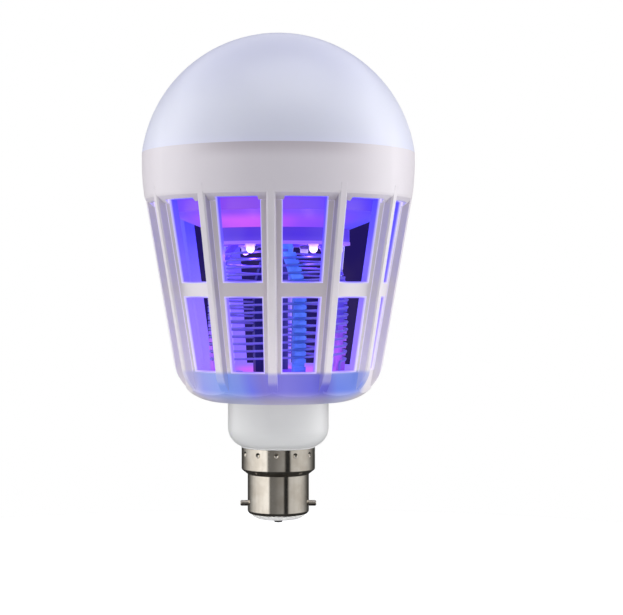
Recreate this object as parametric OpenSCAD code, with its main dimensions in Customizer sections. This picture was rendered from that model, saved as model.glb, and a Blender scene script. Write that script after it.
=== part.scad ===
// Insect killer light bulb on a bayonet cap.
// A frosted dome lights the room, and the slotted cage below it holds a violet-lit wire grid.
// Millimetres. The origin is on the lamp's axis at the bayonet pins, +Z points to the dome,
// the pins lie along X. Azimuths are counted from the cage's front rib, near -Y, towards +X.

/* [Bayonet cap] */
// Outside diameter of the barrel
barrel_d = 22; // [21.7:0.05:22.2]
// Barrel above the pins, up to the shoulder
barrel_rise = 10.6; // [9:0.1:12]
// Barrel below the pins, down to the rolled rim
barrel_drop = 3.6; // [3:0.1:5]
// Thickness of the cap's sheet metal
sheet = 0.4; // [0.3:0.05:0.6]
// Outside diameter of the skirt that grips the neck
skirt_d = 26.4; // [25:0.1:28]
// Height of the sloping shoulder between barrel and skirt
shoulder_h = 1.8; // [1:0.1:3]
// Height of the skirt
skirt_h = 7.8; // [6:0.1:9]
// Radius of the rolled rim at the barrel's end
rim_roll = 1.2; // [0.8:0.1:1.6]
// Punched crimps round the skirt
crimps = 12; // [6:1:16]
// Depth of each crimp
crimp_depth = 0.55; // [0.3:0.05:0.7]
// Diameter of a bayonet pin
pin_d = 2; // [1.9:0.05:2.2]
// How far a bayonet pin stands out of the barrel
pin_reach = 2.6; // [2.2:0.05:3]
// Distance from the pins down to the contact faces
contact_drop = 6; // [5.4:0.1:7.5]
// Distance between the centres of the two contacts
contact_pitch = 9.8; // [8.6:0.1:10.6]

/* [Neck] */
// Outside diameter of the neck
neck_d = 36.2; // [34:0.1:40]
// Radius of the neck's lower edge
neck_round = 7; // [4:0.5:7.5]
// Wall of the neck
neck_wall = 1.8; // [1.4:0.1:2.2]

/* [Cage] */
// Turn of the cage and what it holds against the line of the bayonet pins, in degrees
cage_turn = -3; // [-15:0.5:15]
// Outside diameter of the collar, where the dome sits
collar_d = 97.8; // [92:0.2:104]
// Height of the collar's top edge above the pins
collar_top = 125.4; // [120:0.2:132]
// Upright band at the top of the collar
collar_band = 3.4; // [2:0.1:6]
// Height of the curve that leads from the collar into the straight sides
curve_h = 13.75; // [10:0.25:14]
// Underside of the cage above the pins
cage_foot = 37.2; // [35:0.2:40]
// Flat of the underside between the neck and the rounded corner
neck_flat = 3.75; // [2.5:0.05:6]
// How much thinner the bowl's inner corner is rounded than its outer one
corner_step = 5; // [4:0.5:6]
// Ribs and panels round the cage
ribs = 12; // [12:1:12]
// Width of a rib
rib_w = 3.1; // [2.4:0.1:4]
// How far a rib stands out of the panels
rib_stand = 2.7; // [1.8:0.1:3.2]
// Bevel along a rib's outer edges
rib_bevel = 0.55; // [0.3:0.05:0.9]
// Thickness of the panels
wall = 2.4; // [2:0.1:3]

/* [Windows] */
// Lower edge of the lower row of windows
low_sill = 48.8; // [47:0.2:52]
// Upper edge of the lower row
low_head = 73.9; // [70:0.2:76]
// Lower edge of the upper row
high_sill = 79.5; // [77:0.2:83]
// Upper edge of the upper row
high_head = 107.7; // [104:0.1:108]
// Width of a window at its lowest edge
window_foot_w = 11.2; // [9:0.1:12]
// Width of a window at its highest edge
window_head_w = 15.1; // [13:0.1:16]
// Chamfer round each window
window_edge = 0.5; // [0.3:0.05:0.8]

/* [Dome] */
// How far the dome's widest ring stands out past the collar
dome_swell = 0.4; // [0.05:0.05:2]
// Wall of the dome
dome_wall = 1.6; // [1.2:0.1:2]

/* [Grid] */
// Diameter of the wire coil at its widest, to the wire's centre
coil_d = 50; // [46:0.2:51]
// From the coil's widest turn to the foot of the cage's straight sides
coil_clear = 10.3; // [9.5:0.1:14]
// From the grid's base up to the lowest turn
coil_rise = 6.3; // [5:0.1:8]
// From the highest turn up to the violet lamp board
coil_head = 2; // [1.8:0.1:6]
// Share of the coil's height below the turn where it starts to draw in
coil_knee_share = 0.575; // [0.45:0.005:0.7]
// How far the radius draws in at the top
coil_pull = 6.5; // [4:0.1:7]
// How far the radius draws in at the foot
coil_tuck = 0.8; // [0:0.1:1.5]
// Rise of one wire in a turn, with the second wire midway
pitch = 5.3; // [4.6:0.1:6.4]
// Diameter of the grid wires
wire_d = 0.9; // [0.6:0.05:1.1]
// Comb posts that carry the wires
posts = 4; // [4:1:4]
// Azimuth of the first post
post_azimuth = 20.6; // [10:0.2:30]
// Width of a comb post
post_w = 4.1; // [3:0.1:4.6]
// Depth of a comb post behind the wires
post_depth = 2.4; // [2:0.1:3]
// How far the comb's teeth stand past the wires' centres
tooth = 0.7; // [0.5:0.05:1]
// Sideways lean of the posts' upper half, in degrees
post_lean = 9; // [0:0.5:10]
// Height where the lean starts
lean_start = 76.5; // [75:0.1:78]
// Azimuth where the first wire enters the grid
wire_entry = 65.6; // [60:0.2:70]

/* [Violet lamps] */
// From the upper windows' head down to the violet lamp board
uv_board_drop = 15.1; // [13.7:0.1:15.7]
// Rim of the violet lamp board outside the ring of lamps
uv_board_rim = 3.9; // [3:0.1:5]
// Thickness of the violet lamp board
uv_board_t = 1; // [0.8:0.1:1.6]
// Violet lamps on the board
uv_lamps = 6; // [3:1:6]
// From the coil's top turn out to the ring of violet lamps
uv_ring_gap = 3.4; // [3.2:0.1:4.4]
// From the coil's top turn in to the lamp board's screws
uv_screw_inset = 7.5; // [7:0.1:8.5]
// Azimuth of the first violet lamp
uv_azimuth = 36.85; // [30:0.05:42]
// Diameter of a violet lamp
uv_lamp_d = 3; // [2.6:0.1:3.2]

/* [Lighting deck] */
// Height of the reflector's drum
drum_h = 4.6; // [3.4:0.1:5.4]
// Lip of the violet lamp board outside the drum
drum_inset = 0.2; // [0.1:0.05:0.6]
// Slope of the reflector's cone, in degrees
cone_slope = 21.5; // [16:0.5:24]
// Wall of the reflector
cone_wall = 1.6; // [1.2:0.1:2]
// From the heat plate's rim in to the white lamp board
lamp_board_inset = 8; // [4:0.5:16]
// From the lamp board's rim in to its outer ring of white lamps
lamp_ring_inset = 8; // [4:0.5:12]
// From the collar's top edge down to the heat plate
deck_drop = 9.4; // [8:0.1:11]
// Thickness of the heat plate
heat_plate_t = 1.2; // [0.8:0.1:2]

/* [Hidden] */
$fn = 96;

fit_gap = 0.1;        // between round pieces that slide into each other
seat_gap = 0.05;      // between a wire and its notch
eps = 0.01;           // how far a cutter runs past a face
sector = 360 / ribs;

// Turns the local X axis to an azimuth counted from the cage's front rib towards +X
module at(azimuth) rotate(azimuth + cage_turn - 90) children();

module revolve(points) rotate_extrude() polygon(points);

// Extrudes an outline drawn in (radius, height) sideways, centred on the local XZ plane
module slab(width, points) rotate([90, 0, 0]) linear_extrude(width, center = true) polygon(points);

// Pan head screw whose head's seat is at the origin and whose shank points down
module screw(head_r, head_h, shank_r, shank_l) {
    difference() {
        union() {
            revolve([[0, 0], [head_r, 0], [head_r, head_h * 0.5], [head_r * 0.75, head_h], [0, head_h]]);
            translate([0, 0, -shank_l]) cylinder(h = shank_l + eps, r = shank_r);
        }
        for (turn = [0, 90])
            rotate(turn) translate([0, 0, head_h]) cube([head_r * 1.1, 0.4, head_h * 0.8], center = true);
    }
}

function arc(cx, cz, r, from, to, steps) =
    [for (i = [0:steps]) let (a = from + (to - from) * i / steps) [cx + r * cos(a), cz + r * sin(a)]];

// Heights of the bayonet cap
rim_z = -barrel_drop;
shoulder_z = barrel_rise;
skirt_z = shoulder_z + shoulder_h;
skirt_top = skirt_z + skirt_h;
barrel_r = barrel_d / 2;
skirt_r = skirt_d / 2;
pin_shank_r = pin_d / 2 - 0.15;
pin_tip = barrel_r + pin_reach;

// Outline of the cage: an upright band, a large curve, a straight taper and a rounded corner
collar_r = collar_d / 2;
side_foot_r = coil_d / 2 + coil_clear;
curve_top = collar_top - collar_band;
curve_foot = curve_top - curve_h;

// Lean of the straight sides, at which they meet the curve under the collar without a kink
function lean(angle, tries) = tries == 0 ? angle :
    lean(atan((collar_r - side_foot_r - curve_h * tan(angle / 2)) / (curve_foot - cage_foot)), tries - 1);
taper = lean(10, 8);
collar_curve = curve_h / sin(taper);
function side_r(z) = side_foot_r + (z - cage_foot) * tan(taper);
neck_r = neck_d / 2;
corner_x = neck_r + neck_flat;
corner_r = (side_foot_r - corner_x) * cos(taper) / (1 - sin(taper));
corner_z = cage_foot + corner_r;
function panel_corner(z) = side_r(z) - rib_stand;
function panel_face(z) = panel_corner(z) * cos(sector / 2);
function cavity_r(z) = panel_face(z) - wall;
cavity_lean = atan(tan(taper) * cos(sector / 2));

recess_top = high_head + 1.2;          // where the panels run into the collar
recess_slope = 2.4;                    // height of the sloping edge under the collar
ledge_z = high_head + 1.9;             // seat of the reflector inside the collar
collar_bore = collar_r - wall - 0.2;
floor_z = cage_foot + wall;            // inside floor of the cage
inner_corner = corner_r - corner_step;
inner_arc_z = floor_z + inner_corner;
inner_arc_x = cavity_r(inner_arc_z - inner_corner * sin(cavity_lean)) - inner_corner * cos(cavity_lean);
neck_flange_r = inner_arc_x - fit_gap;   // the neck's flange lies on the flat of the cage's floor

// Grid base, and what stands on it
base_rise = 3.6;
base_gap = 0.3;
base_edge = 3.2;
base_foot = floor_z + base_rise;
base_t = 2;
base_top = base_foot + base_t;
coil_foot = base_top + coil_rise;
base_r = inner_arc_x + sqrt(pow(inner_corner, 2) - pow(inner_arc_z - base_foot, 2)) - base_gap;
tenon_l = 1.2;
tenon_w = 2.6;
tenon_t = 1.6;
tube_r = 3.5;
tube_wall = 1;
base_screw_r = base_r - base_edge;
base_screw_azimuth = 100;
screw_core = 1;
screw_head_r = 2;
screw_head_h = 1.2;
screw_bite = 3;         // how far a base screw goes into its boss
deck_bite = 1.4;        // how far a deck screw goes into what holds it

// Violet lamps and lighting deck
uv_board_foot = high_head - uv_board_drop;
coil_top = uv_board_foot - coil_head;
coil_knee = coil_foot + coil_knee_share * (coil_top - coil_foot);
coil_top_r = coil_d / 2 - coil_pull;
uv_board_top = uv_board_foot + uv_board_t;
uv_ring_r = coil_top_r + uv_ring_gap;
uv_board_r = uv_ring_r + uv_board_rim;
uv_screw_r = coil_top_r - uv_screw_inset;
drum_r = uv_board_r - drum_inset;
drum_top = uv_board_top + drum_h;
rim_clear = 0.5;
cone_rim_r = cavity_r(drum_top + 4) - rim_clear;
cone_rim_z = drum_top + (cone_rim_r - drum_r) * tan(cone_slope);
plate_r = collar_bore - 0.3;
flange_t = 1.8;
heat_plate_foot = collar_top - deck_drop;
plate_top = heat_plate_foot + heat_plate_t;
lamp_board_t = 1.6;
lamp_board_r = plate_r - lamp_board_inset;
board_top = plate_top + lamp_board_t;
dome_r = collar_r + dome_swell;
dome_centre = collar_top - sqrt(dome_r * dome_r - collar_r * collar_r);
white_ring_r = lamp_board_r - lamp_ring_inset;
white_inner_r = white_ring_r * 0.45;
lamp_screw_r = (white_ring_r + white_inner_r) / 2;
lead_r = 0.6;
lead_x = 1.15;

// Driver
rail_x = 13.3;
slot_x = 14.6;
neck_in = neck_r - neck_wall;
spigot_r = skirt_r - sheet - fit_gap;
spigot_in = spigot_r - 1.5;
rail_z = skirt_top + 8.3;
driver_top = floor_z + 1.4;
board_t = 1.6;

// The coil's radius at a height: round the middle it is full, and it draws in towards both ends
function coil_r(z) =
    let (full = coil_d / 2)
    z > coil_knee ? full - coil_pull * pow((z - coil_knee) / (coil_top - coil_knee), 2)
                  : full - coil_tuck * pow((coil_knee - z) / (coil_knee - coil_foot), 2);
turns = (coil_top - coil_foot) / pitch;
bend_r = 1.4;           // bend where a wire turns from its riser into the coil
steps_a_turn = 26;
wire_sides = 6;

function polar(r, azimuth, z) = [r * sin(azimuth + cage_turn), -r * cos(azimuth + cage_turn), z];

// Centre line of one grid wire: a riser out of the base, a bend, and the coil
function wire_line(entry) =
    let (foot_r = coil_r(coil_foot),
         swing = bend_r * 180 / PI / foot_r,
         riser = [for (z = [base_foot - 1, base_top + 1, coil_foot - bend_r]) polar(foot_r, entry, z)],
         bend = [for (a = [22.5:22.5:90])
                    polar(foot_r, entry + swing * (1 - cos(a)), coil_foot - bend_r * (1 - sin(a)))],
         count = floor(turns * steps_a_turn),
         coil = [for (i = [1:count])
                    let (s = i / steps_a_turn, z = coil_foot + pitch * s)
                    polar(coil_r(z), entry + swing + 360 * s, z)])
    concat(riser, bend, coil);

function unit(v) = v / norm(v);

// Tube of constant section along a line that never runs radially
module sweep(line, r, sides) {
    n = len(line);
    rings = [for (i = [0:n - 1])
        let (along = unit(line[min(i + 1, n - 1)] - line[max(i - 1, 0)]),
             out = unit([line[i][0], line[i][1], 0]),
             side = unit(cross(along, out)),
             face = cross(side, along))
        for (k = [0:sides - 1])
            let (a = 360 * k / sides) line[i] + r * (cos(a) * face + sin(a) * side)];
    walls = [for (i = [0:n - 2], k = [0:sides - 1])
        let (next = (k + 1) % sides)
        [i * sides + k, (i + 1) * sides + k, (i + 1) * sides + next, i * sides + next]];
    first = [for (k = [0:sides - 1]) k];
    last = [for (k = [sides - 1:-1:0]) (n - 1) * sides + k];
    polyhedron(points = rings, faces = concat([first], walls, [last]), convexity = 8);
}

module dome_diffuser() {
    skirt_out = collar_bore - 0.2;
    color("#d5d8ea") rotate_extrude() {
        difference() {
            translate([0, dome_centre]) circle(r = dome_r);
            translate([0, dome_centre]) circle(r = dome_r - dome_wall);
            translate([-2 * dome_r, dome_centre - 2 * dome_r])
                square([4 * dome_r, collar_top - dome_centre + 2 * dome_r]);
            translate([-2 * dome_r, dome_centre - 2 * dome_r]) square([2 * dome_r, 4 * dome_r]);
        }
        translate([skirt_out - dome_wall, plate_top]) square([dome_wall, collar_top - plate_top + dome_wall]);
        translate([skirt_out - dome_wall, collar_top])
            square([dome_r - dome_wall * 0.7 - skirt_out + dome_wall, dome_wall * 0.8]);
    }
}

// Body of revolution inside the ribs' and collar's outer faces
module cage_round(clearance) {
    top = recess_top + 3.4;
    revolve(concat(
        [[0, cage_foot], [corner_x, cage_foot]],
        arc(corner_x, corner_z, corner_r + clearance, -84, -taper, 12),
        [[side_r(top) + clearance, top], [0, top]]));
}

module collar() {
    revolve(concat(
        [[cavity_r(recess_top - recess_slope) - 1, recess_top - recess_slope],
         [panel_corner(recess_top - recess_slope) + 0.2, recess_top - recess_slope],
         [side_r(recess_top) - 0.2, recess_top]],
        arc(collar_r - collar_curve, curve_top, collar_curve,
            -asin((curve_top - recess_top - 0.8) / collar_curve), 0, 10),
        [[collar_r, collar_top], [cavity_r(recess_top) - 1, collar_top]]));
}

// A rib: a straight bar with bevelled outer edges that leans with the cage's side
module rib_bar() {
    proud = 0.4;
    half = rib_w / 2;
    length = recess_top + 4 - cage_foot;
    translate([side_r(cage_foot), 0, cage_foot])
        rotate([0, taper, 0]) linear_extrude(length / cos(taper))
            polygon([[-rib_stand - 3, -half], [-rib_bevel, -half], [proud, -half + rib_bevel + proud],
                     [proud, half - rib_bevel - proud], [-rib_bevel, half], [-rib_stand - 3, half]]);
}

function window_half(z) =
    (window_foot_w + (window_head_w - window_foot_w) * (z - low_sill) / (high_head - low_sill)) / 2;

// Opening through a panel, with a chamfer round its outer edge
module window(sill, head) {
    foot = window_half(sill);
    top = window_half(head);
    flare = window_edge + 1;
    inner = [[-foot, sill], [foot, sill], [top, head], [-top, head]];
    outer = [[-foot - flare, sill - flare], [foot + flare, sill - flare],
             [top + flare, head + flare], [-top - flare, head + flare]];
    rotate([90, 0, 90]) translate([0, 0, cavity_r(sill) - 8]) linear_extrude(collar_r) polygon(inner);
    points = concat(
        [for (p = inner) [panel_face(p[1]) - window_edge, p[0], p[1]]],
        [for (p = outer) [panel_face(p[1]) + 1, p[0], p[1]]]);
    polyhedron(points = points, faces = [[0, 1, 2, 3], [7, 6, 5, 4], [0, 4, 5, 1], [1, 5, 6, 2],
                                         [2, 6, 7, 3], [3, 7, 4, 0]]);
}

module cage_cavity() {
    revolve(concat(
        [[0, floor_z], [inner_arc_x, floor_z]],
        arc(inner_arc_x, inner_arc_z, inner_corner, -84, -cavity_lean, 10),
        [[cavity_r(ledge_z), ledge_z], [collar_bore, ledge_z], [collar_bore, collar_top + eps],
         [0, collar_top + eps]]));
}

module cage_shell() {
    difference() {
        union() {
            intersection() {
                cage_round(0.4);
                at(0) translate([0, 0, cage_foot])
                    cylinder(h = recess_top - cage_foot, r1 = panel_corner(cage_foot),
                             r2 = panel_corner(recess_top), $fn = ribs);
            }
            collar();
            intersection() {
                cage_round(0);
                for (i = [0:ribs - 1]) at(sector * i) rib_bar();
            }
        }
        cage_cavity();
        translate([0, 0, cage_foot - 1]) cylinder(h = wall + 2, r = neck_r + fit_gap);
        for (i = [0:ribs - 1]) at(sector * (i + 0.5)) {
            window(low_sill, low_head);
            window(high_sill, high_head);
        }
    }
}

module cage_housing() {
    boss_r = 2.6;
    color("#e9e6ee") difference() {
        union() {
            cage_shell();
            for (i = [0:2]) at(base_screw_azimuth + 120 * i)
                translate([base_screw_r, 0, floor_z - wall / 2])
                    cylinder(h = base_foot - floor_z + wall / 2, r = boss_r);
        }
        for (i = [0:2]) at(base_screw_azimuth + 120 * i)
            translate([base_screw_r, 0, floor_z]) cylinder(h = base_foot, r = screw_core + seat_gap);
    }
}

module neck_housing() {
    foot = skirt_z + 0.6;
    start = acos((skirt_r + 0.1 - neck_r + neck_round) / neck_round);
    color("#dcdcdc") {
        difference() {
            revolve(concat(
                [[spigot_r, foot], [spigot_r, skirt_top + fit_gap], [skirt_r + 0.1, skirt_top + fit_gap]],
                arc(neck_r - neck_round, skirt_top + neck_round + fit_gap, neck_round, -start, 0, 10),
                [[neck_r, floor_z], [neck_flange_r, floor_z], [neck_flange_r, floor_z + flange_t],
                 [neck_in, floor_z + flange_t], [neck_in, rail_z - 1], [spigot_in, skirt_top + 1.6],
                 [spigot_in, foot]]));
            crimp_ring(crimp_dent() + sheet + seat_gap);
        }
        for (side = [0, 180]) rotate(side) intersection() {
            cylinder(h = floor_z + flange_t, r = neck_in + neck_wall / 2);
            difference() {
                translate([rail_x, -2, rail_z - 1.6]) cube([neck_in, 4, driver_top - rail_z + 1.6]);
                translate([rail_x - 1, -board_t / 2 - seat_gap, rail_z])
                    cube([slot_x - rail_x + 1, board_t + 2 * seat_gap, driver_top]);
            }
        }
    }
}

function crimp_dent() = 1.1;
crimp_z = skirt_top - 2;

// Balls that press the skirt into the neck's spigot
module crimp_ring(r) {
    for (i = [0:crimps - 1]) at(360 / crimps * i)
        translate([skirt_r - crimp_depth + crimp_dent(), 0, crimp_z]) sphere(r = r);
}

module cap_shell() {
    inner_roll = rim_roll - sheet;
    round_r = 0.9;
    outer = concat(
        arc(barrel_r - rim_roll, rim_z + rim_roll, rim_roll, -90, 0, 6),
        [[barrel_r, shoulder_z]],
        arc(skirt_r - round_r, skirt_z + round_r * 0.4, round_r, -50, 0, 5),
        [[skirt_r, skirt_top]]);
    inner = concat(
        [[skirt_r - sheet, skirt_top], [skirt_r - sheet, skirt_z + round_r * 0.4],
         [barrel_r - sheet, shoulder_z + sheet * 0.4]],
        arc(barrel_r - rim_roll, rim_z + rim_roll, inner_roll, 0, -90, 6));
    color("#b9b2aa") difference() {
        union() {
            revolve(concat(outer, inner));
            intersection() {
                crimp_ring(crimp_dent() + sheet);
                translate([0, 0, skirt_z]) cylinder(h = skirt_h, r = skirt_r - sheet / 2);
            }
        }
        crimp_ring(crimp_dent());
        rotate([0, 90, 0]) cylinder(h = 4 * barrel_r, r = pin_shank_r + eps, center = true);
    }
}

// Bayonet pin: a stud whose thinner shank passes through the barrel's wall into the plug
module bayonet_pin(side) {
    shank_l = 2;
    nose = 0.3;
    color("#a49e98") rotate([0, side * 90, 0]) {
        translate([0, 0, barrel_r - sheet - shank_l])
            cylinder(h = shank_l + sheet + 2 * seat_gap, r = pin_shank_r);
        translate([0, 0, barrel_r + seat_gap])
            cylinder(h = pin_reach - seat_gap - nose, r = pin_d / 2);
        translate([0, 0, pin_tip - nose]) cylinder(h = nose, r1 = pin_d / 2, r2 = pin_d / 2 - nose);
    }
}

plate_h = 1;          // thickness of a contact plate
plate_seat = -contact_drop + 0.8;

// Insulating plug that closes the barrel and carries the contacts
module cap_insulator() {
    body_r = barrel_r - sheet - fit_gap;
    neck_out = barrel_r - rim_roll - fit_gap;
    color("#e6e5e2") difference() {
        revolve([[0, plate_seat], [neck_out - 2, plate_seat], [neck_out - 0.9, plate_seat + 0.5],
                 [neck_out, rim_z - 0.3], [neck_out, rim_z + rim_roll], [body_r - 0.9, rim_z + rim_roll],
                 [body_r, rim_z + rim_roll + 0.9], [body_r, 3.4], [0, 3.4]]);
        rotate([0, 90, 0]) cylinder(h = 4 * barrel_r, r = pin_shank_r + eps, center = true);
        for (side = [-1, 1]) translate([0, side * contact_pitch / 2, 0]) {
            translate([0, 0, plate_seat - 1]) contact_plate(seat_gap, plate_h + 1);
            cylinder(h = 30, r = 0.9, center = true);
        }
    }
}

// Oval plate of a contact, standing on the local XY plane
module contact_plate(grow, height) {
    half = 1.5;
    linear_extrude(height) for (x = [-half, half]) translate([x, 0]) circle(r = 2.1 + grow);
    translate([-half, -2.1 - grow, 0]) cube([2 * half, 2 * (2.1 + grow), height]);
}

// Contact: an oval plate let into the plug, with a solder mound under it
module contact(side) {
    translate([0, side * contact_pitch / 2, 0]) color("#c9c4ba") {
        translate([0, 0, plate_seat]) contact_plate(0, plate_h - seat_gap);
        translate([0, 0, -contact_drop]) cylinder(h = 0.8 + eps, r1 = 1.3, r2 = 1.9);
    }
}

// Two leads from the contacts, each up to a tab that reaches in to the driver board
module supply_leads() {
    r = 0.5;
    start = plate_seat + plate_h;
    end_z = driver_foot + 2.6;
    tab_z = end_z - 0.8;
    color("#8c3b32") for (side = [-1, 1]) {
        translate([0, side * contact_pitch / 2, start]) cylinder(h = end_z - start, r = r);
        translate([0, side * board_t / 2, tab_z])
            rotate([-side * 90, 0, 0]) cylinder(h = contact_pitch / 2 - board_t / 2, r = r * 0.8);
    }
}

driver_foot = skirt_z + 2.4;

module driver_board() {
    low = spigot_in - 1;
    high = slot_x - seat_gap * 2;
    color("#2f6b45") slab(board_t, [[-low, driver_foot], [low, driver_foot], [low, rail_z], [high, rail_z],
                                    [high, driver_top], [-high, driver_top], [-high, rail_z], [-low, rail_z]]);
}

module driver_capacitor() {
    r = 4;
    h = 10;
    color("#22304f") translate([-6, -board_t / 2 - r, driver_top - h - 0.8]) {
        cylinder(h = h - 1.2, r = r);
        translate([0, 0, h - 1.2]) cylinder(h = 0.6, r = r - 0.35);
        translate([0, 0, h - 0.6]) cylinder(h = 0.6, r = r);
    }
}

module driver_transformer() {
    core = [10, 8, 9];
    place = [4.5, board_t / 2, driver_top - core[2] - 1.2];
    color("#57524c") translate(place) translate([-core[0] / 2, 0, 0]) {
        difference() {
            cube(core);
            for (x = [1.8, core[0] - 1.8 - 1.7])
                translate([x, -1, 1.8]) cube([1.7, core[1] + 2, core[2] - 3.6]);
        }
        translate([core[0] / 2, core[1] / 2, 1.8]) cylinder(h = core[2] - 3.6, r = 2.6);
    }
}

module driver_bridge() {
    size = [6, 2.2, 4];
    place = [-8, board_t / 2, driver_top - 9];
    color("#26262a") translate(place) {
        cube(size);
        for (z = [0.6, size[2] - 1.2]) translate([-0.8, 0, z]) cube([size[0] + 1.6, 0.5, 0.6]);
    }
}

// Disc capacitors of the stage that charges the grid
module pulse_capacitors() {
    r = 2.6;
    t = 2.4;
    color("#3c6fa8") for (x = [2.4, 8.6])
        translate([x, -board_t / 2, driver_top - r - 1]) rotate([90, 0, 0]) {
            cylinder(h = t, r = r);
            for (dx = [-1.2, 1.2]) translate([dx, -r - 0.9, t / 2 - 0.3]) cylinder(h = t / 2, r = 0.3);
        }
}

// Floor of the grid: holds the posts, the tube and the wires' risers
module grid_base() {
    flange_top = floor_z + flange_t;
    press_out = neck_flange_r - 0.2;
    collar_h = 3;
    foot_r = coil_r(coil_foot);
    color("#e9e6ee") difference() {
        union() {
            translate([0, 0, base_foot]) cylinder(h = base_t, r = base_r);
            translate([0, 0, flange_top]) cylinder(h = base_foot - flange_top + eps, r = press_out);
            translate([0, 0, base_top - eps]) cylinder(h = collar_h, r1 = tube_r + 2.2, r2 = tube_r + 1.4);
        }
        translate([0, 0, flange_top - 1]) cylinder(h = base_foot - flange_top + 1, r = press_out - 1.8);
        translate([0, 0, base_foot - 1]) cylinder(h = base_t + collar_h + 2, r = tube_r - tube_wall);
        translate([0, 0, base_foot + 1]) cylinder(h = base_t + collar_h + 2, r = tube_r + fit_gap);
        for (i = [0:2]) at(base_screw_azimuth + 120 * i)
            translate([base_screw_r, 0, base_foot - 1]) cylinder(h = base_t + 2, r = screw_core + 0.3);
        for (i = [0:posts - 1]) at(post_azimuth + 360 / posts * i)
            translate([foot_r - post_depth / 2, 0, base_top - tenon_l / 2])
                cube([tenon_t + fit_gap, tenon_w + fit_gap, tenon_l + eps], center = true);
        for (entry = [wire_entry, wire_entry + 180])
            translate(polar(foot_r, entry, base_foot - 1)) cylinder(h = base_t + 2, r = wire_d / 2 + seat_gap);
    }
}

module grid_base_screws() {
    color("#9a9a9c") for (i = [0:2]) at(base_screw_azimuth + 120 * i)
        translate([base_screw_r, 0, base_top]) screw(screw_head_r, screw_head_h, screw_core, base_t + screw_bite);
}

module core_tube() {
    foot = base_foot + 1;
    color("#e9e6ee") difference() {
        translate([0, 0, foot]) cylinder(h = uv_board_top - foot, r = tube_r);
        translate([0, 0, foot - 1]) cylinder(h = uv_board_top - foot + 2, r = tube_r - tube_wall);
    }
}

// Two leads from the driver through the tube to the white lamp board
module lamp_leads() {
    color("#b03a34") for (side = [-1, 1])
        translate([side * lead_x, 0, driver_top]) cylinder(h = board_top - driver_top, r = lead_r);
}

// Outline of a post between two heights, in (radius, height)
function post_outline(from, to, steps) = concat(
    [for (i = [0:steps]) let (z = from + (to - from) * i / steps) [coil_r(z) + tooth, z]],
    [for (i = [steps:-1:0]) let (z = from + (to - from) * i / steps) [coil_r(z) - post_depth, z]]);

// Sideways place of a post at a height, along its local Y
function post_shift(z) = -max(z - lean_start, 0) * tan(post_lean);

// Comb post: a toothed strip whose upper half draws in with the coil and leans aside
module comb_post(number) {
    azimuth = post_azimuth + 360 / posts * (number - 1);
    over = 3;
    top_r = coil_r(uv_board_foot);
    color("#5aa6e8") at(azimuth) difference() {
        union() {
            slab(post_w, post_outline(base_top, lean_start + 0.6, 6));
            intersection() {
                translate([0, 0, lean_start]) rotate([post_lean, 0, 0]) translate([0, 0, -lean_start])
                    slab(post_w, post_outline(lean_start - 0.4, uv_board_foot + over, 8));
                translate([0, -20, lean_start - 1]) cube([40, 40, uv_board_foot - lean_start + 1]);
            }
            translate([coil_r(coil_foot) - post_depth / 2, 0, base_top - tenon_l / 2 + eps])
                cube([tenon_t, tenon_w, tenon_l], center = true);
            translate([top_r - post_depth / 2, post_shift(uv_board_foot), uv_board_foot + uv_board_t / 2 - eps])
                cube([tenon_t, tenon_w, uv_board_t - 2 * eps], center = true);
        }
        for (entry = [wire_entry, wire_entry + 180]) wire_notches(azimuth, entry);
    }
}

// Notches where one wire crosses a post: level cuts just below the wire's own surface
module wire_notches(azimuth, entry) {
    swing = bend_r * 180 / PI / coil_r(coil_foot);
    first = (azimuth - entry - swing) / 360;
    for (k = [-1:ceil(turns) + 1]) {
        flat_z = coil_foot + pitch * (first + k);
        turned = atan(post_shift(flat_z) / coil_r(flat_z));
        z = flat_z + pitch * turned / 360;
        if (z > coil_foot - wire_d && z < coil_top + wire_d) {
            reach = abs(post_shift(z)) + post_w / 2 + 0.2;
            depth = sqrt(pow(coil_r(z + wire_d / 2), 2) - reach * reach) - wire_d / 2 - 3 * seat_gap;
            translate([depth, -20, z - wire_d / 2 - 0.2]) cube([20, 40, wire_d + 0.4]);
        }
    }
}

module live_wire() {
    color("#c9ccd6") sweep(wire_line(wire_entry), wire_d / 2, wire_sides);
}

module neutral_wire() {
    color("#b5b9c6") sweep(wire_line(wire_entry + 180), wire_d / 2, wire_sides);
}

// Violet lamp board: a disc under the reflector's drum
module uv_board() {
    top_r = coil_r(uv_board_foot);
    color("#cdb8f0") difference() {
        translate([0, 0, uv_board_foot]) cylinder(h = uv_board_t, r = uv_board_r);
        translate([0, 0, uv_board_foot - 1]) cylinder(h = uv_board_t + 2, r = tube_r + fit_gap);
        for (i = [0:posts - 1]) at(post_azimuth + 360 / posts * i)
            translate([top_r - post_depth / 2, post_shift(uv_board_foot), uv_board_foot])
                cube([tenon_t + fit_gap, tenon_w + fit_gap, 4 * uv_board_t], center = true);
        for (i = [0:2]) at(120 * i)
            translate([uv_screw_r, 0, uv_board_foot - 1]) cylinder(h = uv_board_t + 2, r = screw_core + 0.2);
    }
}

module uv_leds() {
    r = uv_lamp_d / 2;
    barrel = 1.6;
    color("#d9b8ff") for (i = [0:uv_lamps - 1]) at(uv_azimuth + 360 / uv_lamps * i)
        translate([uv_ring_r, 0, uv_board_foot]) {
            translate([0, 0, -0.6]) cylinder(h = 0.6, r = r + 0.3);
            translate([0, 0, -barrel]) cylinder(h = barrel, r = r);
            translate([0, 0, -barrel]) sphere(r = r);
        }
}

module uv_board_screws() {
    color("#9a9a9c") for (i = [0:2]) at(120 * i)
        translate([uv_screw_r, 0, uv_board_foot]) mirror([0, 0, 1])
            screw(screw_head_r, screw_head_h, screw_core, uv_board_t + deck_bite);
}

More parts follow.
